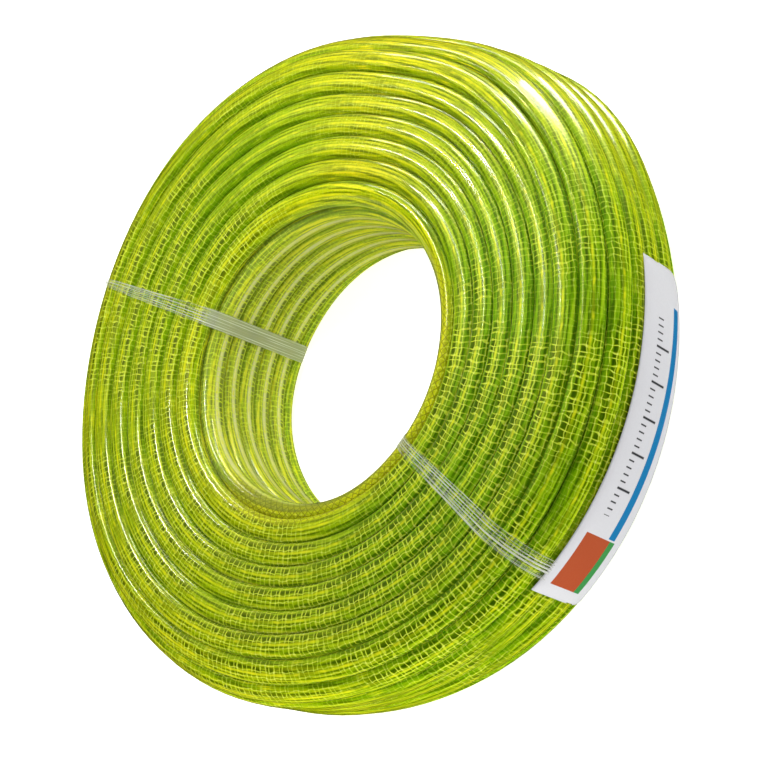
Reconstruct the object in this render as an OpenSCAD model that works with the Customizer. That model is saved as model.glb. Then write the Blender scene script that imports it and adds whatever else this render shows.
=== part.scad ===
// Water level hose: one long clear hose wound into a fat ring, tied by two film straps,
// with a paper label laid round its outer side. The coil lies on its back face: +Z is the
// coil's axis, the floor is at zero, and the label faces -Y.

/* [Hose] */
// Outer diameter of the hose
hose_od = 12; // [8:0.5:16]
// Diameter of the hose's bore, open at both cut ends
hose_bore = 8; // [4:0.5:9]
// Free play between neighbouring turns
turn_slack = 0.1; // [0:0.05:1]

/* [Coil] */
// Clear diameter through the middle of the coil
bore_d = 156; // [120:1:260]
// Turns counted across the face, from the bore to the rim, in steps of a half
face_turns = 8.5; // [5:0.5:8.5]
// Turns counted along the bore wall and along the outer side
side_turns = 7; // [4:1:7]
// Place of the hose's first end on the back face, in degrees round the axis
first_end_angle = 180; // [150:1:210]
// How far the outer side swells between its two rims
outer_crown = 7; // [0:0.5:12]

/* [Straps] */
// Thickness of the strap film
strap_t = 0.4; // [0.2:0.05:1]
// Place of the strap that passes under the label, in degrees round the axis
label_strap_angle = 253; // [250:1:262]
// Width of that strap in the bore
label_strap_bore_w = 7; // [4:0.5:20]
// Width of that strap at the rim
label_strap_rim_w = 12; // [4:0.5:20]
// Place of the strap on the far side, in degrees round the axis
far_strap_angle = 92; // [60:1:120]
// Width of the far strap in the bore
far_strap_bore_w = 10; // [4:0.5:20]
// Width of the far strap at the rim
far_strap_rim_w = 5; // [4:0.5:20]

/* [Label] */
// Length of the label, end to end
label_l = 178; // [120:1:220]
// Width of the label
label_w = 46; // [20:1:56]
// Thickness of the paper
label_t = 0.3; // [0.2:0.05:1]
// How far the label's end reaches past the strap that it covers
label_past = 14; // [8:0.5:30]
// Slant of the label against the turns, in degrees
label_tilt = 3; // [0:0.5:6]
// Height of the label's lower edge above the floor, at the middle of its length
label_low = 8; // [6:0.5:12]

/* [Hidden] */

// Gap between a turn and what lies against it
seat_gap = 0.3;
// How far cutting bodies run past what they cut
overrun = 5;
// The turns that lie on the floor are pressed flat by this share of the hose
floor_flat_share = 0.1;
// Bend of the winding round an edge of the coil, as a share of the pitch
corner_share = 0.75;
// Share of a turn that the winding takes to pass an edge, so that it closes on itself
corner_turn_share = 2 * corner_share - 0.5;
// Share of a turn on the back face before the winding turns up the bore
lead_in_share = 0.25;
// Share of a turn left open between the winding's two ends
ends_apart_share = 0.1;
// Rings along one turn, and sides of the hose
rings = 24;
sides = 6;
// Steps round an edge and across the swollen side of the revolved solids
edge_steps = 4;
crown_steps = 8;
$fn = 96;

// A turn is a chain of straight runs, so between two rings it lies nearer the axis
chord_share = cos(180 / rings);
pitch = hose_od + turn_slack;
face_span = (face_turns - 1) * pitch;
side_span = (side_turns - 1) * pitch;
corner_r = corner_share * pitch;
floor_flat = floor_flat_share * hose_od;
r_bore = bore_d / 2 + hose_od / 2;
r_rim = r_bore + face_span;
z_back = hose_od / 2 - floor_flat;
z_front = z_back + side_span;
z_mid = (z_back + z_front) / 2;
coil_h = z_front + hose_od / 2;
strap_seat = hose_od / 2 + seat_gap;
label_seat = strap_seat + strap_t + seat_gap;
reach = r_rim + outer_crown + hose_od;

// The section of the coil is walked clockwise: up the bore, out over the front face, down
// the outer side and in over the back face, one pitch a turn and faster round the edges.
// A leg is its start, its heading in degrees, its length in turns, and whether it is an edge.
face_leg = face_turns - 1 - 2 * corner_share;
side_leg = side_turns - 1 - 2 * corner_share;
back_leg = face_leg - lead_in_share - ends_apart_share;
legs = [
    [[r_bore + corner_r + lead_in_share * pitch, z_back], 180, lead_in_share, false],
    [[r_bore + corner_r, z_back], 180, corner_turn_share, true],
    [[r_bore, z_back + corner_r], 90, side_leg, false],
    [[r_bore, z_front - corner_r], 90, corner_turn_share, true],
    [[r_bore + corner_r, z_front], 0, face_leg, false],
    [[r_rim - corner_r, z_front], 0, corner_turn_share, true],
    [[r_rim, z_front - corner_r], -90, side_leg, false],
    [[r_rim, z_back + corner_r], -90, corner_turn_share, true],
    [[r_rim - corner_r, z_back], -180, back_leg, false],
];
function turns_before(n) = n == 0 ? 0 : turns_before(n - 1) + legs[n - 1][2];
leg_ends = [for (n = [1:len(legs)]) turns_before(n)];
loops = turns_before(len(legs));

function along(angle) = [cos(angle), sin(angle)];
// The point of a leg after part of a turn, and the heading there
function leg_point(leg, turn) =
    leg[3]
    ? leg[0] + corner_r * (along(leg[1] - 90) + along(leg[1] + 90 - 90 * turn / leg[2]))
    : leg[0] + pitch * turn * along(leg[1]);
function leg_heading(leg, turn) = leg[3] ? leg[1] - 90 * turn / leg[2] : leg[1];
function leg_index(turn, n = 0) =
    n == len(legs) - 1 || turn < leg_ends[n] ? n : leg_index(turn, n + 1);

// The outer side swells by a parabola that fades to nothing at the bore and at both faces
function swell(p) =
    outer_crown * (min(p[0], r_rim) - r_bore) / face_span
    * (1 - pow((p[1] - z_mid) / (side_span / 2), 2));
function swollen(p) = [p[0] + max(0, swell(p)), p[1]];

// One ring of the hose, as points in a plane through the axis. It turns a third as far as
// the heading, which brings two of its six sides to face the neighbouring turns again.
function ring_section(turn) =
    let (n = leg_index(turn))
    let (rest = turn - (leg_ends[n] - legs[n][2]))
    let (middle = swollen(leg_point(legs[n], rest)))
    let (heading = leg_heading(legs[n], rest))
    [for (k = [0:sides - 1]) middle + hose_od / 2 * along(heading / 3 + 360 * (k + 1 / 2) / sides)];
// A ring turned round the axis, and moved ahead along the hose
function placed(section, angle, ahead) = [
    for (p = section)
        [p[0] * cos(angle) - ahead * sin(angle), p[0] * sin(angle) + ahead * cos(angle), p[1]]
];

last_ring = floor(loops * rings);
last_angle = first_end_angle + 360 * last_ring / rings;
sections = [for (i = [0:last_ring]) ring_section(i / rings)];
// Both ends run straight for one hose diameter
tube_rings = [
    placed(sections[0], first_end_angle, -hose_od),
    for (i = [0:last_ring]) placed(sections[i], first_end_angle + 360 * i / rings, 0),
    placed(sections[last_ring], last_angle, hose_od),
];
tube_points = [for (ring = tube_rings) each ring];
tube_faces = [
    for (k = [1:sides - 2]) [0, k + 1, k],
    for (i = [0:len(tube_rings) - 2]) for (k = [0:sides - 1])
        let (a = i * sides + k)
        let (b = i * sides + (k + 1) % sides)
        each [[a, b, a + sides], [b, b + sides, a + sides]],
    for (k = [1:sides - 2]) (len(tube_rings) - 1) * sides * [1, 1, 1] + [0, k, k + 1],
];

// Least gap of the hose to itself: every corner of a ring against the sides of the rings
// that lie one and two turns further on
function to_side(p, a, b) =
    let (t = max(0, min(1, (p - a) * (b - a) / ((b - a) * (b - a)))))
    norm(p - a - t * (b - a));
function ring_gap(one, two) =
    min([for (p = one) for (k = [0:sides - 1]) to_side(p, two[k], two[(k + 1) % sides])]);
least_gap = min([
    for (i = [0:last_ring]) for (ahead = [rings, 2 * rings])
        if (i + ahead <= last_ring)
            min(ring_gap(sections[i], sections[i + ahead]), ring_gap(sections[i + ahead], sections[i]))
]);
echo(loops = loops, least_gap = least_gap);

// Outline of the coil's section, a distance outside the middle line of its turns. The two
// shares draw in the bore side and the rim side, to clear the runs between the rings.
function outline(out, bore_share, rim_share) = [
    for (edge = [[r_bore, z_back, 180], [r_bore, z_front, 90], [r_rim, z_front, 0], [r_rim, z_back, -90]])
        let (inward = [edge[0] == r_bore ? 1 : -1, edge[1] == z_back ? 1 : -1])
        let (centre = [edge[0], edge[1]] + corner_r * inward)
        each [
            for (step = [0:edge_steps])
                let (p = centre + (corner_r + out) * along(edge[2] + 90 - 90 * step / edge_steps))
                drawn_in(swollen(p), bore_share, rim_share),
            if (edge[2] == 0)
                for (step = [1:crown_steps - 1])
                    let (drop = (side_span - 2 * corner_r) * step / crown_steps)
                    drawn_in(swollen([r_rim + out, z_front - corner_r - drop]), bore_share, rim_share),
        ]
];
function drawn_in(p, bore_share, rim_share) =
    let (across = max(0, min(1, (p[0] - r_bore) / face_span)))
    [p[0] * (bore_share + (rim_share - bore_share) * across), p[1]];
function floored(points, level) = [for (p = points) [p[0], max(p[1], level)]];

// A strap seen along the axis: it narrows steadily from one width to the other
module strap_plan(bore_w, rim_w) {
    polygon([
        [r_bore - hose_od, -bore_w / 2],
        [reach, -rim_w / 2],
        [reach, rim_w / 2],
        [r_bore - hose_od, bore_w / 2],
    ]);
}

// Room for a strap under the turns that lie on the floor
module strap_slot(angle, bore_w, rim_w) {
    rotate(angle) linear_extrude(2 * (strap_t + seat_gap), center = true)
        strap_plan(bore_w + 2 * seat_gap, rim_w + 2 * seat_gap);
}

// The bore of the hose at one of its ends
module end_bore(section, angle, ahead) {
    middle = (section[0] + section[sides / 2]) / 2;
    rotate(angle) translate([middle[0], ahead / 2, middle[1]]) rotate([90, 0, 0])
        cylinder(h = hose_od + overrun, d = hose_bore, center = true);
}

module hose_winding() {
    color("yellowgreen") difference() {
        polyhedron(tube_points, tube_faces);
        translate([-reach, -reach, -hose_od]) cube([2 * reach, 2 * reach, hose_od]);
        strap_slot(label_strap_angle, label_strap_bore_w, label_strap_rim_w);
        strap_slot(far_strap_angle, far_strap_bore_w, far_strap_rim_w);
        end_bore(sections[0], first_end_angle, -hose_od - overrun);
        end_bore(sections[last_ring], last_angle, hose_od + overrun);
    }
}

module inner_turns() {
    color("olivedrab") rotate_extrude() polygon(outline(-strap_seat, 1, chord_share));
}

module strap(angle, bore_w, rim_w) {
    intersection() {
        rotate_extrude() difference() {
            polygon(floored(outline(strap_seat + strap_t, chord_share, 1), 0));
            polygon(floored(outline(strap_seat, chord_share, 1), strap_t));
        }
        rotate(angle) translate([0, 0, -overrun]) linear_extrude(coil_h + 2 * overrun)
            strap_plan(bore_w, rim_w);
    }
}

module label_strap() {
    color("gainsboro") strap(label_strap_angle, label_strap_bore_w, label_strap_rim_w);
}

module far_strap() {
    color("gainsboro") strap(far_strap_angle, far_strap_bore_w, far_strap_rim_w);
}

// The label is cut from a skin that lies on the outer side and round its two rims
module label_skin() {
    rotate_extrude() intersection() {
        difference() {
            polygon(outline(label_seat + label_t, chord_share, 1));
            polygon(outline(label_seat, chord_share, 1));
        }
        translate([r_rim - corner_r, -overrun]) square([reach, coil_h + 2 * overrun]);
    }
}

module paper_label() {
    label_r = r_rim + outer_crown + label_seat;
    half_turn = 90 * label_l / (PI * label_r);
    past_turn = 180 * label_past / (PI * label_r);
    span = 2 * label_r * sin(half_turn);
    color("white") intersection() {
        label_skin();
        rotate(label_strap_angle - past_turn + half_turn) translate([label_r / 2, 0, label_low + label_w / 2])
            rotate([-label_tilt, 0, 0]) translate([0, -span / 2, -label_w / 2])
                cube([label_r, span, label_w]);
    }
}

hose_winding();
inner_turns();
label_strap();
far_strap();
paper_label();
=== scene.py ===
"""Water level hose: one clear hose wound into a fat ring, with its film straps and its label."""

import math

import bpy
import numpy as np
from mathutils import Matrix, Vector


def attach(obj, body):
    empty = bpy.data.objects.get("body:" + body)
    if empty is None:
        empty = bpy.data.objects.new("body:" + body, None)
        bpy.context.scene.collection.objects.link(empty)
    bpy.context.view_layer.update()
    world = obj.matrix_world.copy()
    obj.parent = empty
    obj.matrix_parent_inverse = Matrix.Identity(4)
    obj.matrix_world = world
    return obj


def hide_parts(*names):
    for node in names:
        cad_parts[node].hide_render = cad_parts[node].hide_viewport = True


bl_info = {
    "name": "Wound level hose",
    "version": (1, 0, 0),
    "blender": (4, 5, 0),
    "location": "View3D > Sidebar > Level hose",
    "description": "Winds a clear net-reinforced hose into a tied coil with a paper label",
    "category": "Add Mesh",
}

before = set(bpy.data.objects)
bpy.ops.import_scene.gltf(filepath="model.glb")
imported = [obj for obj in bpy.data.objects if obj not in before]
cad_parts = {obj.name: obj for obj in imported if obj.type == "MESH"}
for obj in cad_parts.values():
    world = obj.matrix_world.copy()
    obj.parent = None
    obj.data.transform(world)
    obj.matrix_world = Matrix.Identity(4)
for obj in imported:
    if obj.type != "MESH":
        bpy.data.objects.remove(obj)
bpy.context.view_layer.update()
BODY = "root"
PLAIN_MAP = "UVMap"
HOSE_MAP = "OFBake"  # runs on along the hose, one unit to a repeat

# The winding. Lengths are metres where nothing else is said.
FLOOR_PRESS = 0.4  # height of the lowest turns' middle, in diameters
BORE_BEND = 0.75  # bend of the bore's edges, in pitches
EDGE_STEPS = 13  # points round one edge of the section
START_PAST, END_PAST = 0.25, 0.35  # where the outer layer starts and ends, past the bore's edge
EDGE_TURNS = 6  # turns that the rounded edges save
COLUMN_STEP = 0.9  # pitches between inner columns, and turns to step across
DIVE_TURNS = 0.1  # fine steps that go on past the outer layer
FINE_STEPS, COARSE_STEPS = 120, 40  # points to a turn, in the outer layer and inside
WANDER, WANDER_RATES, WANDER_SEED = 0.0002, (1.31, 2.17, 3.43, 5.29), 7

# The uneven lie of the turns. A bell is its height, its direction and its width in degrees.
OFF_CENTRE, DRAWN_IN = 0.006, 0.00175
OVAL, OVAL_WAY = 0.00145, math.radians(236)
FRONT_BELLS = ((0.0105, 56, 38), (-0.0025, 115, 25), (-0.004, 10, 16))
BACK_BELLS = ((0.0095, -22, 20),)
RIM_BELLS = ((0.0028, -105, 35), (-0.0012, 205, 25))
BORE_BELLS = ((0.0018, -40, 35),)

# The pieces.
HOSE_SIDES = 20
HOSE_REPEAT = 0.063  # length of hose to one repeat of its finish
END_DEPTH = 0.02  # how deep the open ends go
PRESSED_HIGH, PRESSED_WIDE, PRESSED_POWER = 0.98, 1.14, 3.2  # section of a pressed turn
FLOOR_GAP = 0.0001  # between the floor and the film under the coil
FLOOR_ROOM = math.radians(8)  # half width of the room for that film
FILM_SEAT = 0.0004  # from the crests to the middle of the film
OUTLINE_STEPS, FILM_COLUMNS = 400, 24
NEAR_WIDTHS, FAR_WIDTHS = (0.007, 0.012), (0.010, 0.005)  # of a strap in the bore and at the rim
LABEL_SEAT, LABEL_ARC = 0.0009, 0.001  # from the crests to the paper, and to its measured arc
LABEL_STEPS = (121, 41)
LABEL_BEND = 0.001  # how far the paper's edges bend in
PAPER_THICKNESS = 0.00025

# Finish of the hose. A noise's grain is how coarse it is along the hose and round it.
STREAK_GRAIN, LINE_GRAIN, SPECKLE_GRAIN = (0.3, 28), (0.5, 55), (9.0, 60)
BEND_GRAIN, KINK_GRAIN, PATCH_GRAIN = (2.0, 4), (3.0, 6), (1.3, 8)
BROAD_SCALE, WIDE_SCALE = 11, 16  # patches to a metre of the coil
# A layer is the noise where it starts, where it is full, its largest share and its colour.
STREAKS = (
    (0.5, 0.6, 0.72, (0.09, 0.17, 0.0, 1)),
    (0.45, 0.36, 0.82, (0.74, 0.80, 0.01, 1)),
)
FINE_LINES = (
    (0.54, 0.62, 0.62, (0.08, 0.15, 0.0, 1)),
    (0.42, 0.36, 0.62, (0.80, 0.84, 0.02, 1)),
)
YARNS, RUNGS = 13.0, 20.0  # yarns round the hose, rungs to a repeat
# Painted shadow of the threads, the knots' colour, a painted light line on the crests, and a
# painted light line on the crests of the bore's turns.
THREAD_SHADOW_COLOUR, KNOT_COLOUR = (0.06, 0.115, 0.0, 1), (0.90, 0.97, 0.22, 1)
CREST_LIGHT_LINE, BORE_LIGHT_LINE = (0.90, 0.86, 0.02, 1), (0.84, 0.88, 0.62, 1)
BRIGHTEST = (0.92, 0.92, 0.92, 1)
# Radii between which a mask fades, and directions from the axis.
FACE_INNER, FACE_OUTER, BORE_WALL = (0.085, 0.1), (0.179, 0.186), (0.087, 0.081)
CALM_WAY, MATT_WAY, LIP_WAY = (0.30, 0.95), (0.574, -0.819), (-0.45, -0.89)
# Painted light and shade from the bore to the rim, lighter at the bore and at the rim and darker
# between; a ramp's first two stops come first.
TINT_SPAN = (0.078, 0.188)
RADIAL_LIGHT_AND_SHADE = (
    (0.0, (1.38, 1.26, 1.25)), (1.0, (1.28, 1.14, 1.2)), (0.08, (1.0, 1.0, 1.0)),
    (0.25, (0.88, 1.0, 1.0)), (0.7, (0.92, 1.0, 1.0)), (0.93, (1.18, 1.08, 1.0)),
)
# Painted light and shade by direction, lit toward +x and shaded toward -y and a little toward +y:
# the direction, the cosines where the tone starts and is full, and its colour.
SIDE_LIGHT_AND_SHADE = (
    ((-0.24, 0.97), 0.1, -0.9, (0.49, 0.77, 1.0, 1)),
    ((0.99, -0.14), 0.75, 1.0, (1.44, 1.11, 0.8, 1)),
    ((0.47, 0.88), 0.8, 1.0, (0.84, 0.92, 0.9, 1)),
)
# The lip is the innermost turn of the front: its height, its reach and the reach of the painted
# shade along its inner edge.
LIP_HEIGHT, LIP_REACH, LIP_EDGE_REACH = (0.072, 0.076), (0.093, 0.089), (0.0848, 0.0838)
LIP_COLOUR, LIP_MESH = (0.86, 0.76, 0.02, 1), (0.20, 0.21, 0.01, 1)
LIP_SHADE_EDGE = (0.10, 0.13, 0.02, 1)
LIP_LINES, LIP_SLANT = 14.0, 10  # slanted lines to a repeat, and how far they lean

# Finish of the film and of the label. A field is its box in u and v, and its colour.
THREADS, THREAD_COLOUR = 7.0, (0.86, 0.88, 0.80, 1)
FILM_GRAIN, FILM_BORE = (9, 14), (0.092, 0.082)
GRAIN_SCALE, GRAIN_COLOUR = 900, (0.60, 0.60, 0.63, 1)
FIELDS = (
    ((0.215, 0.885, 0.34, 0.46), (0.001, 0.19, 0.43, 1)),
    ((0.04, 0.21, 0.41, 0.86), (0.46, 0.078, 0.02, 1)),
    ((0.04, 0.21, 0.31, 0.41), (0.05, 0.29, 0.07, 1)),
)
# Ticks of the scale: how many to the label's length, their width, and their box.
TICKS = ((50.0, 0.16, (0.27, 0.84, 0.66, 0.76)), (10.0, 0.05, (0.27, 0.84, 0.52, 0.76)))
TICK_COLOUR = (0.03, 0.03, 0.035, 1)

# The stage. A light is its name, place, width, height, power, and the rays that don't see it.
CAMERA_AXES = ((0.3704, -0.6836, -0.6289), (0.9289, 0.2726, 0.2508), (0.0, -0.6771, 0.7359))
CAMERA_AIM, CAMERA_SHIFT, SENSOR = (0, 0, 0.0411), (0.0105, -0.0043), 36
FLOOR_REACH, FLOOR_STEPS, FLOOR_HEIGHT = 25, 9, -0.0002
FLOOR_GLOW, WORLD_GLOW = 0.8, 0.35
LIGHT_AIM = (0, 0, 0.04)
LIGHTS = (
    ("top_box", (0.85, 0.36, 0.40), 0.82, 0.14, 2.8, ("diffuse",)),
    ("line_box", (0.225, 0.463, 0.884), 0.06, 0.30, 2.4, ("diffuse",)),
    ("crest_box", (0.205, 0.61, 0.80), 0.03, 0.13, 0.42, ("diffuse",)),
    ("end_box", (0.81, 0.29, 0.55), 0.2, 0.06, 0.8, ("diffuse",)),
    ("patch_box", (0.42, -0.03, 0.095), 0.15, 0.12, 0.8, ("diffuse", "camera")),
    ("over_box", (0.42, 0.33, 0.55), 0.5, 0.5, 1.15, ("glossy",)),
    ("rim_box", (0.36, -0.02, 0.42), 0.25, 0.25, 1.2, ("glossy",)),
    ("near_box", (-0.50, -0.05, 0.55), 0.5, 0.5, 0.65, ("glossy",)),
    ("low_box", (-0.30, 0.42, 0.50), 0.5, 0.5, 1.15, ("glossy",)),
    ("side_box", (0.55, -0.8, 0.25), 0.6, 0.6, 1.1, ("glossy",)),
    ("foot_box", (-0.45, -0.25, 0.10), 0.25, 0.2, 0.8, ("glossy", "camera")),
)


class HoseSettings(bpy.types.PropertyGroup):
    """Sizes and colours of the hose and of its coil"""

    diameter: bpy.props.FloatProperty(
        name="Hose diameter", description="Outer diameter of the hose",
        default=0.012, unit="LENGTH",
    )
    bore: bpy.props.FloatProperty(
        name="Hose bore", description="Inner diameter of the hose",
        default=0.008, unit="LENGTH",
    )
    slack: bpy.props.FloatProperty(
        name="Slack", description="Free play between turns", default=0.0001, unit="LENGTH"
    )
    coil_bore: bpy.props.FloatProperty(
        name="Coil bore", description="Clear diameter through the coil",
        default=0.156, unit="LENGTH",
    )
    face_turns: bpy.props.FloatProperty(
        name="Face turns", description="Turns counted across the face", default=8.5
    )
    side_turns: bpy.props.IntProperty(
        name="Side turns", description="Turns counted along the bore wall", default=7
    )
    start: bpy.props.FloatProperty(
        name="Start", description="Place of the hose's first end round the axis",
        default=math.radians(180), subtype="ANGLE",
    )
    swell: bpy.props.FloatProperty(
        name="Swell", description="How far the outer side stands out past the face turns",
        default=0.0072, unit="LENGTH",
    )
    rim_bend: bpy.props.FloatProperty(
        name="Rim bend", description="Bend of the outer edges, along the middle of the turns",
        default=0.0242, unit="LENGTH",
    )
    # Painted light and shade round each turn: the crest colour is the lit crest, the flank colour
    # the shaded flanks, and the gap colour the deep shade between two turns.
    crest: bpy.props.FloatVectorProperty(
        name="Crest colour", description="Colour along the crest of a turn",
        default=(0.49, 0.60, 0.003), size=3, subtype="COLOR",
    )
    shaded_flank: bpy.props.FloatVectorProperty(
        name="Flank colour", description="Colour on the flanks of a turn",
        default=(0.205, 0.39, 0.002), size=3, subtype="COLOR",
    )
    gap: bpy.props.FloatVectorProperty(
        name="Gap colour", description="Colour deep between two turns",
        default=(0.15, 0.28, 0.001), size=3, subtype="COLOR",
    )
    yarn: bpy.props.FloatVectorProperty(
        name="Yarn colour", description="Colour of the net in the hose's wall",
        default=(0.78, 0.92, 0.07), size=3, subtype="COLOR",
    )


class StrapSettings(bpy.types.PropertyGroup):
    """Sizes and colour of the two film straps"""

    thickness: bpy.props.FloatProperty(
        name="Film thickness", description="Thickness of the drawn film",
        default=0.0003, unit="LENGTH",
    )
    near_angle: bpy.props.FloatProperty(
        name="Label strap", description="Place of the strap under the label",
        default=math.radians(253), subtype="ANGLE",
    )
    far_angle: bpy.props.FloatProperty(
        name="Far strap", description="Place of the strap on the far side",
        default=math.radians(92), subtype="ANGLE",
    )
    film: bpy.props.FloatVectorProperty(
        name="Film colour", description="Colour of the milky film",
        default=(0.58, 0.62, 0.40), size=3, subtype="COLOR",
    )


class LabelSettings(bpy.types.PropertyGroup):
    """Sizes and colour of the paper label"""

    length: bpy.props.FloatProperty(
        name="Label length", description="Length of the label", default=0.182, unit="LENGTH"
    )
    width: bpy.props.FloatProperty(
        name="Label width", description="Width of the label", default=0.046, unit="LENGTH"
    )
    past: bpy.props.FloatProperty(
        name="Past the strap", description="How far the label reaches past the strap",
        default=0.014, unit="LENGTH",
    )
    low: bpy.props.FloatProperty(
        name="Lower edge", description="Height of the lower edge above the floor",
        default=0.008, unit="LENGTH",
    )
    tilt: bpy.props.FloatProperty(
        name="Slant", description="Slant of the label against the turns",
        default=math.radians(3), subtype="ANGLE",
    )
    paper: bpy.props.FloatVectorProperty(
        name="Paper colour", description="Colour of the bare paper",
        default=(0.68, 0.68, 0.70), size=3, subtype="COLOR",
    )


class StageSettings(bpy.types.PropertyGroup):
    """Place of the camera"""

    distance: bpy.props.FloatProperty(
        name="Camera distance", description="From the middle of the coil",
        default=1.01, unit="LENGTH",
    )
    lens: bpy.props.FloatProperty(
        name="Lens", description="Focal length in millimetres", default=89.1
    )


def coil_sizes(hose):
    """Middle lines of the outermost turns, worked out from the hose's settings: the bore's and
    the rim's radius, the back's and the front's height, the pitch, and the bends at the
    bore's and at the rim's edges."""
    pitch = hose.diameter + hose.slack
    r_bore = hose.coil_bore / 2 + hose.diameter / 2
    z_back = FLOOR_PRESS * hose.diameter
    return {
        "pitch": pitch,
        "bore_bend": BORE_BEND * pitch,
        "rim_bend": hose.rim_bend,
        "r_bore": r_bore,
        "r_rim": r_bore + (hose.face_turns - 1) * pitch + hose.swell,
        "z_back": z_back,
        "z_front": z_back + (hose.side_turns - 1) * pitch,
    }


def edges(size):
    """The section's four rounded edges, in the hose's order: the middle of the bend as radius
    and height, the bend, and the direction in degrees where it starts."""
    e, f = size["bore_bend"], size["rim_bend"]
    low_r, high_r = size["r_bore"], size["r_rim"]
    low_z, high_z = size["z_back"], size["z_front"]
    return (
        (low_r + e, low_z + e, e, 270), (low_r + e, high_z - e, e, 180),
        (high_r - f, high_z - f, f, 90), (high_r - f, low_z + f, f, 0),
    )


def run_along(points):
    """The length run from the first point of a line to each of its points."""
    return np.concatenate([[0], np.cumsum(np.linalg.norm(np.diff(points, axis=0), axis=1))])


def bell(angle, middle, width):
    """e to minus the square of the angle away from a middle, counted in widths."""
    away = np.angle(np.exp(1j * (angle - middle)))
    return np.exp(-((away / width) ** 2))


def rim_share(r, size):
    """0 at the bore's turns, 1 at the rim's, and even between them."""
    return np.clip((r - size["r_bore"]) / (size["r_rim"] - size["r_bore"]), 0, 1)


def warped(r, z, angle, size):
    """Radius with the coil's uneven winding: the outer turns lie a little off the bore's centre,
    as an oval, and bells of a few millimetres, each round one direction, push the front rim out
    or in and the back of the outer side out. All of that grows in step with the distance from
    the bore; the bore itself has one small bell."""
    share = rim_share(r, size)
    front = np.clip((z - size["z_back"]) / (size["z_front"] - size["z_back"]), 0, 1)

    def bells(rows):
        """The sum of a list of bells."""
        return sum(
            height * bell(angle, math.radians(middle), math.radians(width))
            for height, middle, width in rows
        )

    shift = OFF_CENTRE * np.sin(angle) + OVAL * np.cos(2 * angle - OVAL_WAY) - DRAWN_IN
    shift = shift + front * bells(FRONT_BELLS) + (1 - front) * bells(BACK_BELLS) + bells(RIM_BELLS)
    return r + share * shift + (1 - share) * bells(BORE_BELLS)


def walk_table(size, hose):
    """The way of the hose over the coil's section, as a table of turns, radius, height and
    heading, and the turns of its outer layer. It goes up the bore, out over the front, down the
    outer side and in over the back, the same way in every turn; then it dives inside and fills
    the section in columns, up and down by turns."""
    p, e, low_r, low_z = (size[key] for key in ("pitch", "bore_bend", "r_bore", "z_back"))
    path = [np.array([[low_r + e + START_PAST * p, low_z, 180.0]])]
    for r, z, bend, start in edges(size):
        a = np.linspace(start, start - 90, EDGE_STEPS)
        way = np.radians(a)
        path.append(np.stack([r + bend * np.cos(way), z + bend * np.sin(way), a - 90], 1))
    path.append(np.array([[low_r + e + END_PAST * p, low_z, -180.0]]))
    path = np.concatenate(path)
    run = run_along(path[:, :2])
    whole = 2 * (hose.face_turns + hose.side_turns) - EDGE_TURNS
    rows = list(zip(run * whole / (run[-1] + (END_PAST - START_PAST) * p), *path.T))
    outer_turns = rows[-1][0]

    def straight(turns, r, z, heading):
        rows.append((rows[-1][0] + turns, r, z, heading))

    straight(whole - outer_turns, low_r + p, low_z + p, -270)
    span = hose.face_turns - 3  # the columns lie one pitch inside the outer layer
    columns = 1 + round(span / COLUMN_STEP)
    for column in range(columns):
        up, shift = column % 2 == 0, 0.5 * (column % 2)
        bottom, top = 1 + shift, hose.side_turns - 2 - shift
        first, last = (bottom, top) if up else (top, bottom)
        r, heading = low_r + p + column * span * p / (columns - 1), -270 if up else -450
        if column:
            straight(COLUMN_STEP, r, low_z + first * p, heading)
        straight(top - bottom, r, low_z + last * p, heading)
    return np.array(rows), outer_turns


def hose_path(hose):
    """Points down the middle of the hose, and the outward direction of the coil there. A point
    turns round the axis once a turn at the table's radius and height, with a small wander made
    of sines."""
    size = coil_sizes(hose)
    table, outer_turns = walk_table(size, hose)
    dive = outer_turns + DIVE_TURNS
    turns = np.concatenate([
        np.arange(0, dive, 1 / FINE_STEPS), np.arange(dive, table[-1, 0], 1 / COARSE_STEPS)
    ])
    r, z, heading = (np.interp(turns, table[:, 0], table[:, k]) for k in (1, 2, 3))
    angle = hose.start + 2 * np.pi * turns
    r = warped(r, z, angle, size)
    draw = np.random.default_rng(WANDER_SEED)
    wander = np.zeros((2, len(turns)))
    for rate in WANDER_RATES:
        start = draw.uniform(0, 2 * np.pi, (2, 1))
        wander += WANDER * np.sin(2 * np.pi * rate * turns + start)
    radial = np.stack([np.cos(angle), np.sin(angle), 0 * angle], 1)
    points = (r + wander[0])[:, None] * radial
    points[:, 2] = z + wander[1]
    way = np.radians(heading + 90)
    outward = np.cos(way)[:, None] * radial
    outward[:, 2] = np.sin(way)
    return points, outward


def tube(points, outward, radius, sides):
    """A ring of points round each point of a line, and the line's direction there: minus the
    cosine of the angle times the outward direction, and minus its sine times the third
    direction, so that half way round is the crest. The soft hose is pressed by its neighbours:
    the ring is a little wider than high, and filled out as a superellipse."""
    along = np.gradient(points, axis=0)
    along /= np.linalg.norm(along, axis=1, keepdims=True)
    out = outward - (outward * along).sum(1, keepdims=True) * along
    out /= np.linalg.norm(out, axis=1, keepdims=True)
    third = np.cross(along, out)
    angle = 2 * np.pi * np.arange(sides) / sides
    c, s, power = np.cos(angle), np.sin(angle), PRESSED_POWER
    full = (np.abs(c) ** power + np.abs(s) ** power) ** (-1 / power)
    high = (-PRESSED_HIGH * full * c)[None, :, None]
    wide = (-PRESSED_WIDE * full * s)[None, :, None]
    return points[:, None] + radius * (high * out[:, None] + wide * third[:, None]), along


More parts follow.
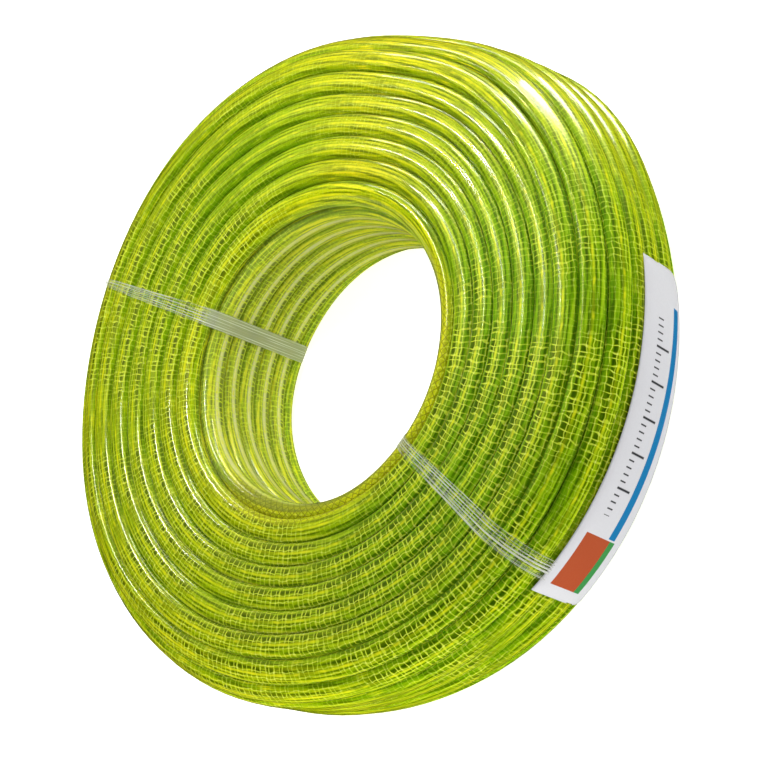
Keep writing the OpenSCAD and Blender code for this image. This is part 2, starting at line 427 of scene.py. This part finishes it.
def underside(points, straps):
    """Height of the flat underside of the turns that lie on the floor: zero, and room for the
    film in a bell round each strap's direction that is cut off flat at half its height."""
    angle = np.arctan2(points[..., 1], points[..., 0])
    lift = 0.0
    for middle in (straps.near_angle, straps.far_angle):
        lift = np.maximum(lift, np.minimum(2 * bell(angle, middle, FLOOR_ROOM), 1))
    return lift * (2 * FLOOR_GAP + straps.thickness)


def pairs(rows, cols):
    """Every pair of a row's and a column's value, as a grid."""
    return np.stack(np.broadcast_arrays(rows[:, None], cols[None]), -1)


def hose_surface(hose, straps):
    """The hose's rings and their map, the points down its middle, and its length. Each end
    turns in to the bore's ring and goes on down the bore; below, the rings are cut off flat."""
    points, outward = hose_path(hose)
    rings, along = tube(points, outward, hose.diameter / 2, HOSE_SIDES)
    bore = points[:, None] + (rings - points[:, None]) * hose.bore / hose.diameter
    rings = np.concatenate([
        bore[:1] + END_DEPTH * along[0], bore[:1], rings,
        bore[-1:], bore[-1:] - END_DEPTH * along[-1],
    ])
    rings[..., 2] = np.maximum(rings[..., 2], underside(rings, straps))
    run = run_along(points)
    whole = np.concatenate([[0, 0], run, run[-1:], run[-1:]])
    uv = pairs(whole / HOSE_REPEAT, np.linspace(0, 1, HOSE_SIDES + 1))
    return rings, uv, points, float(run[-1])


def outline(size, out):
    """The closed outline of the coil's section, a distance outside the middle line of its turns:
    four quarter circles joined by straights."""
    quarters = []
    for r, z, bend, start in edges(size):
        a = np.radians(np.linspace(start, start - 90, EDGE_STEPS))
        quarters.append(np.stack([r + (bend + out) * np.cos(a), z + (bend + out) * np.sin(a)], 1))
    loop = np.concatenate(quarters + [quarters[0][:1]])
    run = run_along(loop)
    at = np.linspace(0, run[-1], OUTLINE_STEPS)
    return np.interp(at, run, loop[:, 0]), np.interp(at, run, loop[:, 1])


def strap_surface(angle, widths, straps, hose):
    """A film band round the section and its map: the outline carried across its width, which
    goes from one size in the bore to another at the rim, as a thin closed profile. It is half
    the thickness to either side of the outline, along the outline's normal."""
    size = coil_sizes(hose)
    half = straps.thickness / 2
    r, z = (line[:-1] for line in outline(size, hose.diameter / 2 + FILM_SEAT))
    r, z = warped(r, z, np.full(r.shape, angle), size), np.maximum(z, FLOOR_GAP + half)
    width = widths[0] + (widths[1] - widths[0]) * rim_share(r, size)
    there = np.linspace(-0.5, 0.5, FILM_COLUMNS)
    side = width[:, None] * np.concatenate([there, -there])
    lift = np.repeat([-half, half], FILM_COLUMNS)
    step_r, step_z = (np.roll(line, -1) - np.roll(line, 1) for line in (r, z))
    normal = np.stack([-step_z, step_r], 1)
    normal /= np.linalg.norm(normal, axis=1, keepdims=True)
    rr = r[:, None] + lift * normal[:, :1]
    zz = np.maximum(z[:, None] + lift * normal[:, 1:], FLOOR_GAP)
    c, s = math.cos(angle), math.sin(angle)
    points = np.stack([rr * c - side * s, rr * s + side * c, zz], -1)
    around = [np.linspace(0, 1, FILM_COLUMNS), np.linspace(1, 0, FILM_COLUMNS + 1)]
    return points, pairs(np.linspace(0, 1, len(r) + 1), np.concatenate(around))


def label_surface(label, hose, straps):
    """A grid over the label's length and width, and its map. A point's height and arc come from
    its place on the slanted label, and its radius from the section's outline at that height.
    The edges bend in by the eighth power of how near a point is to them."""
    size = coil_sizes(hose)
    radius = size["r_rim"] + hose.diameter / 2 + LABEL_ARC
    r, z = outline(size, hose.diameter / 2 + LABEL_SEAT)
    outer = r > size["r_rim"] - size["rim_bend"]
    order = np.argsort(z[outer])
    known_z, known_r = z[outer][order], r[outer][order]
    a = np.linspace(0, label.length, LABEL_STEPS[0]) - label.length / 2
    b = np.linspace(-label.width / 2, label.width / 2, LABEL_STEPS[1])
    a, b = np.meshgrid(a, b, indexing="ij")
    c, s = math.cos(label.tilt), math.sin(label.tilt)
    middle = straps.near_angle + (label.length / 2 - label.past) / radius
    height = label.low + label.width / 2 + b * c - a * s
    angle = middle + (a * c + b * s) / radius
    far = warped(np.interp(height, known_z, known_r), height, angle, size)
    near_edge = np.maximum(np.abs(2 * a / label.length) ** 3, np.abs(2 * b / label.width))
    far = far - LABEL_BEND * near_edge**8
    points = np.stack([far * np.cos(angle), far * np.sin(angle), height], -1)
    return points, np.stack([a / label.length + 0.5, b / label.width + 0.5], -1)


def surface_mesh(name, points, uv, wrap=False, ring=False, caps=False, map_name=PLAIN_MAP):
    """A mesh of four-sided faces over a grid of points. With wrap, the last column joins the
    first, and with ring the last row; with caps, the first and the last row are closed by one
    face each."""
    rows, cols = points.shape[:2]
    steps = np.arange(rows if ring else rows - 1), np.arange(cols if wrap else cols - 1)
    i, j = np.meshgrid(*steps, indexing="ij")
    below, after = (i + 1) % rows, (j + 1) % cols
    quads = np.stack([i * cols + j, i * cols + after, below * cols + after, below * cols + j], -1)
    corners = np.stack([uv[i, j], uv[i, j + 1], uv[i + 1, j + 1], uv[i + 1, j]], -2)
    corners = corners.reshape(-1, 2)
    index, starts = quads.ravel(), np.arange(0, quads.size, 4)
    if caps:
        ends = np.concatenate([np.arange(cols)[::-1], (rows - 1) * cols + np.arange(cols)])
        starts = np.concatenate([starts, quads.size + np.array([0, cols])])
        index = np.concatenate([index, ends])
        corners = np.concatenate([corners, np.repeat([uv[0, 0], uv[-1, 0]], cols, axis=0)])
    mesh = bpy.data.meshes.new(name)
    mesh.vertices.add(rows * cols)
    mesh.vertices.foreach_set("co", points.astype(np.float32).ravel())
    mesh.loops.add(len(index))
    mesh.loops.foreach_set("vertex_index", index.astype(np.int32))
    mesh.polygons.add(len(starts))
    mesh.polygons.foreach_set("loop_start", starts.astype(np.int32))
    mesh.polygons.foreach_set("use_smooth", np.ones(len(starts), bool))
    mesh.uv_layers.new(name=map_name).uv.foreach_set("vector", corners.astype(np.float32).ravel())
    mesh.update(calc_edges=True)
    mesh.validate()
    return mesh


def new_object(name, mesh, material):
    """A piece at the origin, in the scene, with its finish."""
    made = bpy.data.objects.new(name, mesh)
    bpy.context.scene.collection.objects.link(made)
    mesh.materials.append(material)
    return made


class Nodes:
    """A shader's node tree, with short ways to add and join nodes."""

    def __init__(self, tree):
        self.tree = tree

    def add(self, kind, *sources, **settings):
        """A node of a kind; sources go to its first inputs, links or plain values."""
        node = self.tree.nodes.new(kind)
        for key, value in settings.items():
            setattr(node, key, value)
        for socket, source in zip(node.inputs, sources):
            self.put(socket, source)
        return node

    def put(self, socket, source):
        """Joins a socket to a node, to one of its outputs, or gives it a plain value."""
        if isinstance(source, bpy.types.Node):
            source = source.outputs[0]
        if isinstance(source, bpy.types.NodeSocket):
            self.tree.links.new(source, socket)
        else:
            socket.default_value = source

    def dress(self, node, sources):
        """Gives a node's inputs, by name, their links or plain values."""
        for name, source in sources.items():
            self.put(node.inputs[name], source)

    def math(self, operation, *sources):
        """One step of arithmetic."""
        return self.add("ShaderNodeMath", *sources, operation=operation)

    def times(self, product, *others):
        """The product of all the values."""
        for other in others:
            product = self.math("MULTIPLY", product, other)
        return product

    def fade(self, value, start, end, low=0.0, high=1.0):
        """A smooth step from low to high as the value goes from start to end."""
        return self.add(
            "ShaderNodeMapRange", value, start, end, low, high, interpolation_type="SMOOTHSTEP"
        ).outputs[0]

    def between(self, mask, low, high):
        """A smooth step from low where a mask is 0 to high where it is 1."""
        return self.fade(mask, 0.0, 1.0, low, high)

    def noise(self, vector, scale=1.0, detail=2.0, rough=0.5):
        """Noise round a half, with its scale, its detail and how rough the detail is."""
        node = self.add("ShaderNodeTexNoise")
        inputs = {"Vector": vector, "Scale": scale, "Detail": detail, "Roughness": rough}
        self.dress(node, inputs)
        return node

    def mix(self, share, first, second, blend="MIX"):
        """Two colours blended by a share."""
        node = self.add("ShaderNodeMix", data_type="RGBA", blend_type=blend)
        for socket, source in zip((0, 6, 7), (share, first, second)):
            self.put(node.inputs[socket], source)
        return node.outputs[2]

    def ramp(self, value, *stops):
        """A colour by a value; a stop is its place and its colour."""
        node = self.add("ShaderNodeValToRGB", value)
        points = node.color_ramp.elements
        for k, (place, colour) in enumerate(stops):
            point = points[k] if k < 2 else points.new(place)
            point.position, point.color = place, (*colour, 1)
        return node.outputs[0]

    def group(self, tree, *sources):
        """A shared group, with its inputs in their order."""
        return self.add("ShaderNodeGroup", *sources, node_tree=tree)

    def uv(self, map_name):
        """The two coordinates of a map."""
        whole = self.add("ShaderNodeUVMap", uv_map=map_name)
        return self.add("ShaderNodeSeparateXYZ", whole).outputs[:2]

    def place(self):
        """The place on the part, its three coordinates, and its distance from the axis."""
        whole = self.add("ShaderNodeTexCoord").outputs["Object"]
        x, y, z = self.add("ShaderNodeSeparateXYZ", whole).outputs
        squares = self.math("ADD", self.math("POWER", x, 2), self.math("POWER", y, 2))
        return whole, x, y, z, self.math("SQRT", squares)

    def scaled(self, place, scale):
        """A place times a number."""
        return self.add("ShaderNodeVectorMath", place, (scale,) * 3, operation="MULTIPLY")

    def bump(self, height, strength, distance):
        """A normal that stands up with a height."""
        node = self.add("ShaderNodeBump")
        self.dress(node, {"Strength": strength, "Distance": distance, "Height": height})
        return node


def new_material(name):
    """A material with its node tree, its Principled shader and short ways to add to it."""
    made = bpy.data.materials.new(name)
    made.use_nodes = True
    return made, Nodes(made.node_tree), made.node_tree.nodes["Principled BSDF"]


def new_group(name, inputs, output):
    """A node group with number or vector inputs and one number as its output."""
    made = bpy.data.node_groups.new(name, "ShaderNodeTree")
    for title, kind in inputs:
        made.interface.new_socket(name=title, in_out="INPUT", socket_type=kind)
    made.interface.new_socket(name=output, in_out="OUTPUT", socket_type="NodeSocketFloat")
    n = Nodes(made)
    return made, n, n.add("NodeGroupInput").outputs, n.add("NodeGroupOutput").inputs


def line_group():
    """Thin lines, a count of them to one unit of a value and moved by a shift: 1 on a line."""
    kind = "NodeSocketFloat"
    made, n, given, result = new_group(
        "thin_lines", [("Value", kind), ("Count", kind), ("Shift", kind), ("Width", kind)], "Mask"
    )
    moved = n.math("ADD", n.times(given[0], given[1]), given[2])
    off = n.math("ABSOLUTE", n.math("SUBTRACT", n.math("FRACT", moved), 0.5))
    n.put(result[0], n.fade(off, given[3], n.times(given[3], 0.3)))
    return made


def patch_group():
    """Soft patches of noise, pulled between two levels of it to a mask."""
    kind = "NodeSocketFloat"
    made, n, given, result = new_group(
        "soft_patches", [("Vector", "NodeSocketVector"), ("Low", kind), ("High", kind)], "Mask"
    )
    n.put(result[0], n.fade(n.noise(given[0]), given[1], given[2]))
    return made


def shared_groups():
    """The groups that several finishes use, each made once."""
    known = bpy.data.node_groups
    return known.get("thin_lines") or line_group(), known.get("soft_patches") or patch_group()


class HosePlaces:
    """Where a point of the hose lies: along it and round it, and in the coil. off_crest goes
    from 0 on the crest to 1 on the hidden side; face is 1 on the coil's front and back."""

    def __init__(self, n):
        self.n = n
        self.u, self.v = n.uv(HOSE_MAP)
        turn = n.times(self.u, 2 * math.pi)
        self.cosine, self.sine = n.math("COSINE", turn), n.math("SINE", turn)
        self.off_crest = n.times(n.math("ABSOLUTE", n.math("SUBTRACT", self.v, 0.5)), 2)
        self.place, self.x, self.y, self.z, self.radius = n.place()
        rim = n.fade(self.radius, *FACE_OUTER, 1.0, 0.4)
        self.face = n.times(n.fade(self.radius, *FACE_INNER), rim)

    def along(self, grain):
        """A place that comes round again with every repeat along the hose."""
        n, (radius, across) = self.n, grain
        parts = ((self.cosine, radius), (self.sine, radius), (self.v, across))
        return n.add("ShaderNodeCombineXYZ", *(n.times(*part) for part in parts))

    def band(self, low, high, soft):
        """1 where v lies between two places round the hose."""
        start = self.n.fade(self.v, low - soft, low + soft)
        return self.n.times(start, self.n.fade(self.v, high + soft, high - soft))

    def toward(self, way, start, end):
        """A mask that goes from 0 to 1 as the cosine to a direction goes from start to end."""
        n = self.n
        side = n.math("ADD", n.times(self.x, way[0]), n.times(self.y, way[1]))
        return n.fade(n.math("DIVIDE", side, self.radius), start, end)


def wall_colour(n, at, hose, patches):
    """The wall's colour, and the noise of its streaks: painted light along the crest, painted
    shade on the flanks and deeper painted shade between turns, with streaks, speckles and fine
    lines along the hose."""
    # Painted light and shade round each turn, from the lit crest to the shaded gap between turns.
    colour = n.ramp(
        at.off_crest, (0.0, hose.crest), (0.5, hose.gap), (0.12, hose.crest),
        (0.34, hose.shaded_flank), (1.0, hose.gap),
    )
    broad = n.group(patches, n.scaled(at.place, BROAD_SCALE), 0.38, 0.62)
    colour = n.mix(n.times(broad, 0.35), colour, (*hose.shaded_flank, 1))
    streak = n.noise(at.along(STREAK_GRAIN), detail=3.0, rough=0.7)
    calm = n.between(at.toward(CALM_WAY, 0.45, 0.85), 1.0, 0.45)
    for start, end, share, tone in STREAKS:
        colour = n.mix(n.times(n.fade(streak, start, end, 0.0, share), calm), colour, tone)
    speckle = n.noise(at.along(SPECKLE_GRAIN), rough=0.7)
    colour = n.mix(n.fade(speckle, 0.52, 0.66, 0.0, 0.5), colour, (*hose.gap, 1))
    fine = n.noise(at.along(LINE_GRAIN), detail=1.0)
    for start, end, share, tone in FINE_LINES:
        colour = n.mix(n.fade(fine, start, end, 0.0, share), colour, tone)
    return colour, streak


def yarn_net(n, at, lines, patches):
    """Masks of the net in the wall: yarns that run along and rungs that cross them, the knots
    where they meet, painted thread shadows between the rungs beside the crest, and a painted light
    line on the crest. Noise bends the lines, patches thin the net out, and painted glare thins it
    on +x."""
    bend, kink = (n.noise(at.along(grain), detail=1.0) for grain in (BEND_GRAIN, KINK_GRAIN))
    patchy = n.group(patches, at.along(PATCH_GRAIN), 0.36, 0.6)
    wide = n.group(patches, n.scaled(at.place, WIDE_SCALE), 0.34, 0.56)
    # Painted glare: the net is thinned toward +x, the side the main lamps light.
    deep = n.fade(n.math("DIVIDE", at.x, at.radius), 0.45, 0.8, 1.0, 0.55)
    seen = n.times(n.between(wide, 0.3, 1.0), deep)
    yarns = n.group(lines, at.v, YARNS, n.times(bend, 0.75), 0.13)
    rungs = n.group(lines, at.u, RUNGS, n.times(kink, 1.5), 0.16)
    # Painted shadows of the threads: dark squares between the rungs, on a band just inside the
    # crest and more faintly on its other side.
    near, far = at.band(0.418, 0.488, 0.012), at.band(0.515, 0.66, 0.02)
    beside = n.math("MAXIMUM", near, n.times(far, 0.4))
    thread_shadows = n.times(beside, n.between(patchy, 0.15, 0.9), n.between(wide, 0.15, 1.0))
    thread_shadows = n.times(thread_shadows, n.math("POWER", deep, 2.5))
    rung_share = n.times(rungs, n.math("ADD", n.times(thread_shadows, 0.5), 0.5))
    yarn_share = n.times(yarns, n.between(patchy, 0.25, 0.75))
    # A painted light line along the crest, where light runs along the clear tube.
    middle = n.math("ADD", n.math("SUBTRACT", at.v, 0.512), n.times(bend, 0.02))
    crest = n.fade(n.math("ABSOLUTE", middle), 0.022, 0.006)
    return {
        "thread_shadows": thread_shadows,
        "net": n.times(n.math("MAXIMUM", rung_share, yarn_share), seen),
        "knots": n.times(yarns, rungs, seen, 0.6),
        "crest": n.times(crest, n.between(patchy, 0.7, 0.2)),
    }


def light_through(n, at, colour):
    """The colour with painted light: what shines through the coil, as a pale line on the crests in
    the bore, and painted light and shade by the distance from the axis and by the direction from
    it."""
    # Painted light: a pale line on the crests of the bore's turns, where light shines through.
    pale = n.fade(at.off_crest, 0.09, 0.02, 0.06, 0.58)
    colour = n.mix(n.times(n.fade(at.radius, *BORE_WALL), pale), colour, BORE_LIGHT_LINE)
    # Painted light and shade by the distance from the axis.
    radial_light_and_shade = n.ramp(n.fade(at.radius, *TINT_SPAN), *RADIAL_LIGHT_AND_SHADE)
    colour = n.mix(1.0, colour, radial_light_and_shade, "MULTIPLY")
    # Painted light and shade by the direction from the axis: lit toward +x, shaded toward -y.
    for way, start, end, painted_side_tone in SIDE_LIGHT_AND_SHADE:
        side_toned_colour = n.mix(1.0, colour, painted_side_tone, "MULTIPLY")
        colour = n.mix(n.times(at.toward(way, start, end), at.face), colour, side_toned_colour)
    return colour


def golden_lip(n, at, lines, colour):
    """The colour with the golden lip of the bore's front edge on one side: a golden band, a mesh
    of lines that slant both ways, and painted shade along its inner edge."""
    front = n.times(n.fade(at.z, *LIP_HEIGHT), at.toward(LIP_WAY, 0.0, 0.4))
    gold = n.times(n.fade(at.radius, *LIP_REACH), front)
    slants = (n.times(at.v, LIP_SLANT), n.times(at.v, -LIP_SLANT))
    mesh = n.math("MAXIMUM", *(n.group(lines, at.u, LIP_LINES, slant, 0.12) for slant in slants))
    edge = n.fade(at.radius, *LIP_EDGE_REACH)
    colour = n.mix(n.times(gold, 0.35), colour, LIP_COLOUR)
    colour = n.mix(n.times(mesh, gold, 0.8), colour, LIP_MESH)
    # Painted shade along the lip's inner edge.
    return n.mix(n.times(edge, front, 0.6), colour, LIP_SHADE_EDGE)


def hose_material(hose, lines, patches):
    """Clear green-yellow wall, glossy and soft to light, with a net of pale yarn in it."""
    made, n, shader = new_material("clear_hose")
    at = HosePlaces(n)
    colour, streak = wall_colour(n, at, hose, patches)
    masks = yarn_net(n, at, lines, patches)
    # Painted shadows of the threads between the rungs beside the crest.
    colour = n.mix(masks["thread_shadows"], colour, THREAD_SHADOW_COLOUR)
    # Painted light and shade over the coil, by place and by direction.
    colour = light_through(n, at, colour)
    # The net and the knots, and the painted light line on the crest.
    tones = (("net", (*hose.yarn, 1)), ("knots", KNOT_COLOUR), ("crest", CREST_LIGHT_LINE))
    for name, tone in tones:
        colour = n.mix(masks[name], colour, tone)
    colour = golden_lip(n, at, lines, colour)
    matt = n.times(at.toward(MATT_WAY, 0.86, 0.95), at.face)
    n.dress(shader, {
        "Base Color": n.mix(1.0, colour, BRIGHTEST, "DARKEN"),
        "Roughness": n.fade(streak, 0.35, 0.65, 0.36, 0.48),
        "Specular IOR Level": 0.9,
        "Specular Tint": (1.0, 0.95, 0.12, 1),
        "Coat Weight": n.between(matt, 1.0, 0.15),
        "Coat Roughness": 0.08,
        "Subsurface Weight": 1.0,
        "Subsurface Radius": (1.0, 1.0, 0.2),
        "Subsurface Scale": 0.012,
        "Normal": n.bump(masks["net"], 0.12, 0.0002),
    })
    return made


def film_material(straps, lines, patches):
    """Milky clear film, drawn into fine white threads that run along it; it lies flat and closes
    up in the coil's bore."""
    made, n, shader = new_material("drawn_film")
    u, v = n.uv(PLAIN_MAP)
    radius = n.place()[-1]
    across = n.add("ShaderNodeCombineXYZ", n.times(u, FILM_GRAIN[0]), n.times(v, FILM_GRAIN[1]))
    shift = n.times(n.noise(across, 0.4, 1.0), 1.5)
    patchy = n.group(patches, across, 0.35, 0.6)
    drawn = n.times(n.group(lines, v, THREADS, shift, 0.18), n.between(patchy, 0.35, 0.9))
    clear = n.math("MAXIMUM", n.times(drawn, 0.8), n.times(patchy, 0.05))
    flat = n.times(n.fade(radius, *FILM_BORE), 0.45)
    n.dress(shader, {
        "Base Color": n.mix(drawn, (*straps.film, 1), THREAD_COLOUR),
        "Alpha": n.math("MAXIMUM", clear, flat),
        "Roughness": n.between(patchy, 0.24, 0.4),
        "Normal": n.bump(drawn, 0.3, 0.0002),
    })
    return made


def paper_material(label, lines, patches):
    """Coated paper with plain fields of colour and a plain scale of ticks."""
    made, n, shader = new_material("label_paper")
    u, v = n.uv(PLAIN_MAP)

    def field(u0, u1, v0, v1):
        """1 inside a box in u and v."""
        wide = n.times(n.math("GREATER_THAN", u, u0), n.math("LESS_THAN", u, u1))
        return n.times(wide, n.math("GREATER_THAN", v, v0), n.math("LESS_THAN", v, v1))

    grain = n.group(patches, n.scaled(n.place()[0], GRAIN_SCALE), 0.3, 0.7)
    colour = n.mix(n.times(grain, 0.2), (*label.paper, 1), GRAIN_COLOUR)
    for box, tone in FIELDS:
        colour = n.mix(field(*box), colour, tone)
    short, long = (
        n.times(n.group(lines, u, count, 0.0, width), field(*box)) for count, width, box in TICKS
    )
    n.dress(shader, {
        "Base Color": n.mix(n.math("MAXIMUM", short, long), colour, TICK_COLOUR),
        "Roughness": n.between(grain, 0.32, 0.42),
        "Specular IOR Level": 0.15,
        "Normal": n.bump(grain, 0.1, 0.0001),
    })
    return made


class LEVELHOSE_OT_hose(bpy.types.Operator):
    """Wind the hose"""

    bl_idname = "levelhose.hose"
    bl_label = "Wind hose"

    def execute(self, context):
        hose = context.scene.level_hose
        rings, uv, points, length = hose_surface(hose, context.scene.level_straps)
        mesh = surface_mesh("hose", rings, uv, wrap=True, caps=True, map_name=HOSE_MAP)
        made = new_object("hose", mesh, hose_material(hose, *shared_groups()))
        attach(made, BODY)
        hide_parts("hose_winding", "inner_turns")
        return {"FINISHED"}


def strap_piece(name, surface, film):
    """One of the straps, from its points and its map."""
    made = new_object(name, surface_mesh(name, *surface, wrap=True, ring=True), film)
    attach(made, BODY)
    return made


class LEVELHOSE_OT_straps(bpy.types.Operator):
    """Tie the two film straps"""

    bl_idname = "levelhose.straps"
    bl_label = "Tie straps"

    def execute(self, context):
        straps, hose = context.scene.level_straps, context.scene.level_hose
        film = film_material(straps, *shared_groups())
        near, far = (
            strap_piece(name, strap_surface(angle, widths, straps, hose), film)
            for name, angle, widths in (
                ("label_strap_film", straps.near_angle, NEAR_WIDTHS),
                ("far_strap_film", straps.far_angle, FAR_WIDTHS),
            )
        )
        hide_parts("label_strap")
        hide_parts("far_strap")
        return {"FINISHED"}


class LEVELHOSE_OT_label(bpy.types.Operator):
    """Lay the paper label round the outer side"""

    bl_idname = "levelhose.label"
    bl_label = "Lay label"

    def execute(self, context):
        scene = context.scene
        label = scene.level_label
        surface = label_surface(label, scene.level_hose, scene.level_straps)
        paper = paper_material(label, *shared_groups())
        made = new_object("label", surface_mesh("label", *surface), paper)
        made.modifiers.new("paper", "SOLIDIFY").thickness = PAPER_THICKNESS
        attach(made, BODY)
        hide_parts("paper_label")
        return {"FINISHED"}


def add_camera(scene, stage):
    """A camera at a distance from the middle of the coil, moved a little to the side."""
    axes = np.array(CAMERA_AXES).T
    data = bpy.data.cameras.new("camera")
    data.lens, data.sensor_width = stage.lens, SENSOR
    camera = bpy.data.objects.new("camera", data)
    scene.collection.objects.link(camera)
    place = np.array(CAMERA_AIM) + axes @ (*CAMERA_SHIFT, stage.distance)
    camera.matrix_world = Matrix.Translation(place) @ Matrix(axes).to_4x4()
    scene.camera = camera


def add_floor():
    """A wide pale floor that glows evenly; it doesn't show in reflections."""
    line = np.linspace(-FLOOR_REACH, FLOOR_REACH, FLOOR_STEPS)
    x, y = np.meshgrid(line, line, indexing="ij")
    points = np.stack([x, y, np.full(x.shape, FLOOR_HEIGHT)], -1)
    made, n, shader = new_material("pale_floor")
    n.dress(shader, {
        "Base Color": (0.9, 0.9, 0.9, 1),
        "Roughness": 0.9,
        "Emission Color": (1, 1, 1, 1),
        "Emission Strength": FLOOR_GLOW,
    })
    floor = new_object("floor", surface_mesh("floor", points, points[..., :2]), made)
    floor.visible_glossy = False


def add_light(scene, name, place, width, height, power, unseen):
    """A soft box at a place, which looks at the middle of the coil."""
    data = bpy.data.lights.new(name, "AREA")
    data.shape, data.size, data.size_y = "RECTANGLE", width, height
    data.energy = power
    made = bpy.data.objects.new(name, data)
    scene.collection.objects.link(made)
    made.location = place
    made.rotation_euler = (Vector(LIGHT_AIM) - Vector(place)).to_track_quat("-Z", "Y").to_euler()
    for ray in unseen:
        setattr(made, "visible_" + ray, False)


def add_world(scene):
    """An even white surround; it doesn't show in reflections."""
    world = bpy.data.worlds.new("studio")
    world.use_nodes = True
    background = world.node_tree.nodes["Background"]
    Nodes(world.node_tree).dress(background, {"Color": (1, 1, 1, 1), "Strength": WORLD_GLOW})
    scene.world = world
    world.cycles_visibility.glossy = False


class LEVELHOSE_OT_stage(bpy.types.Operator):
    """Set up camera, floor and light"""

    bl_idname = "levelhose.stage"
    bl_label = "Set stage"

    def execute(self, context):
        scene = context.scene
        add_camera(scene, scene.level_stage)
        add_floor()
        add_world(scene)
        for light in LIGHTS:
            add_light(scene, *light)
        scene.view_settings.view_transform = "Standard"
        return {"FINISHED"}


class LEVELHOSE_PT_panel(bpy.types.Panel):
    """Sidebar panel with the pieces and their settings"""

    bl_idname = "LEVELHOSE_PT_panel"
    bl_label = "Level hose"
    bl_space_type = "VIEW_3D"
    bl_region_type = "UI"
    bl_category = "Level hose"

    def draw(self, context):
        for group, operator in PIECES:
            box = self.layout.box()
            settings = getattr(context.scene, group)
            for name in settings.bl_rna.properties.keys():
                if name not in ("rna_type", "name"):
                    box.prop(settings, name)
            box.operator(operator)


PIECES = (
    ("level_stage", "levelhose.stage"),
    ("level_hose", "levelhose.hose"),
    ("level_straps", "levelhose.straps"),
    ("level_label", "levelhose.label"),
)
GROUPS = {
    "level_stage": StageSettings,
    "level_hose": HoseSettings,
    "level_straps": StrapSettings,
    "level_label": LabelSettings,
}
CLASSES = (
    *GROUPS.values(), LEVELHOSE_OT_stage, LEVELHOSE_OT_hose, LEVELHOSE_OT_straps,
    LEVELHOSE_OT_label, LEVELHOSE_PT_panel,
)


def register():
    for made in CLASSES:
        bpy.utils.register_class(made)
    for name, group in GROUPS.items():
        setattr(bpy.types.Scene, name, bpy.props.PointerProperty(type=group))


def unregister():
    for name in GROUPS:
        delattr(bpy.types.Scene, name)
    for made in reversed(CLASSES):
        bpy.utils.unregister_class(made)


def main():
    """Makes every piece in order."""
    register()
    bpy.ops.levelhose.stage()
    bpy.ops.levelhose.hose()
    bpy.ops.levelhose.straps()
    bpy.ops.levelhose.label()


if __name__ == "__main__":
    main()
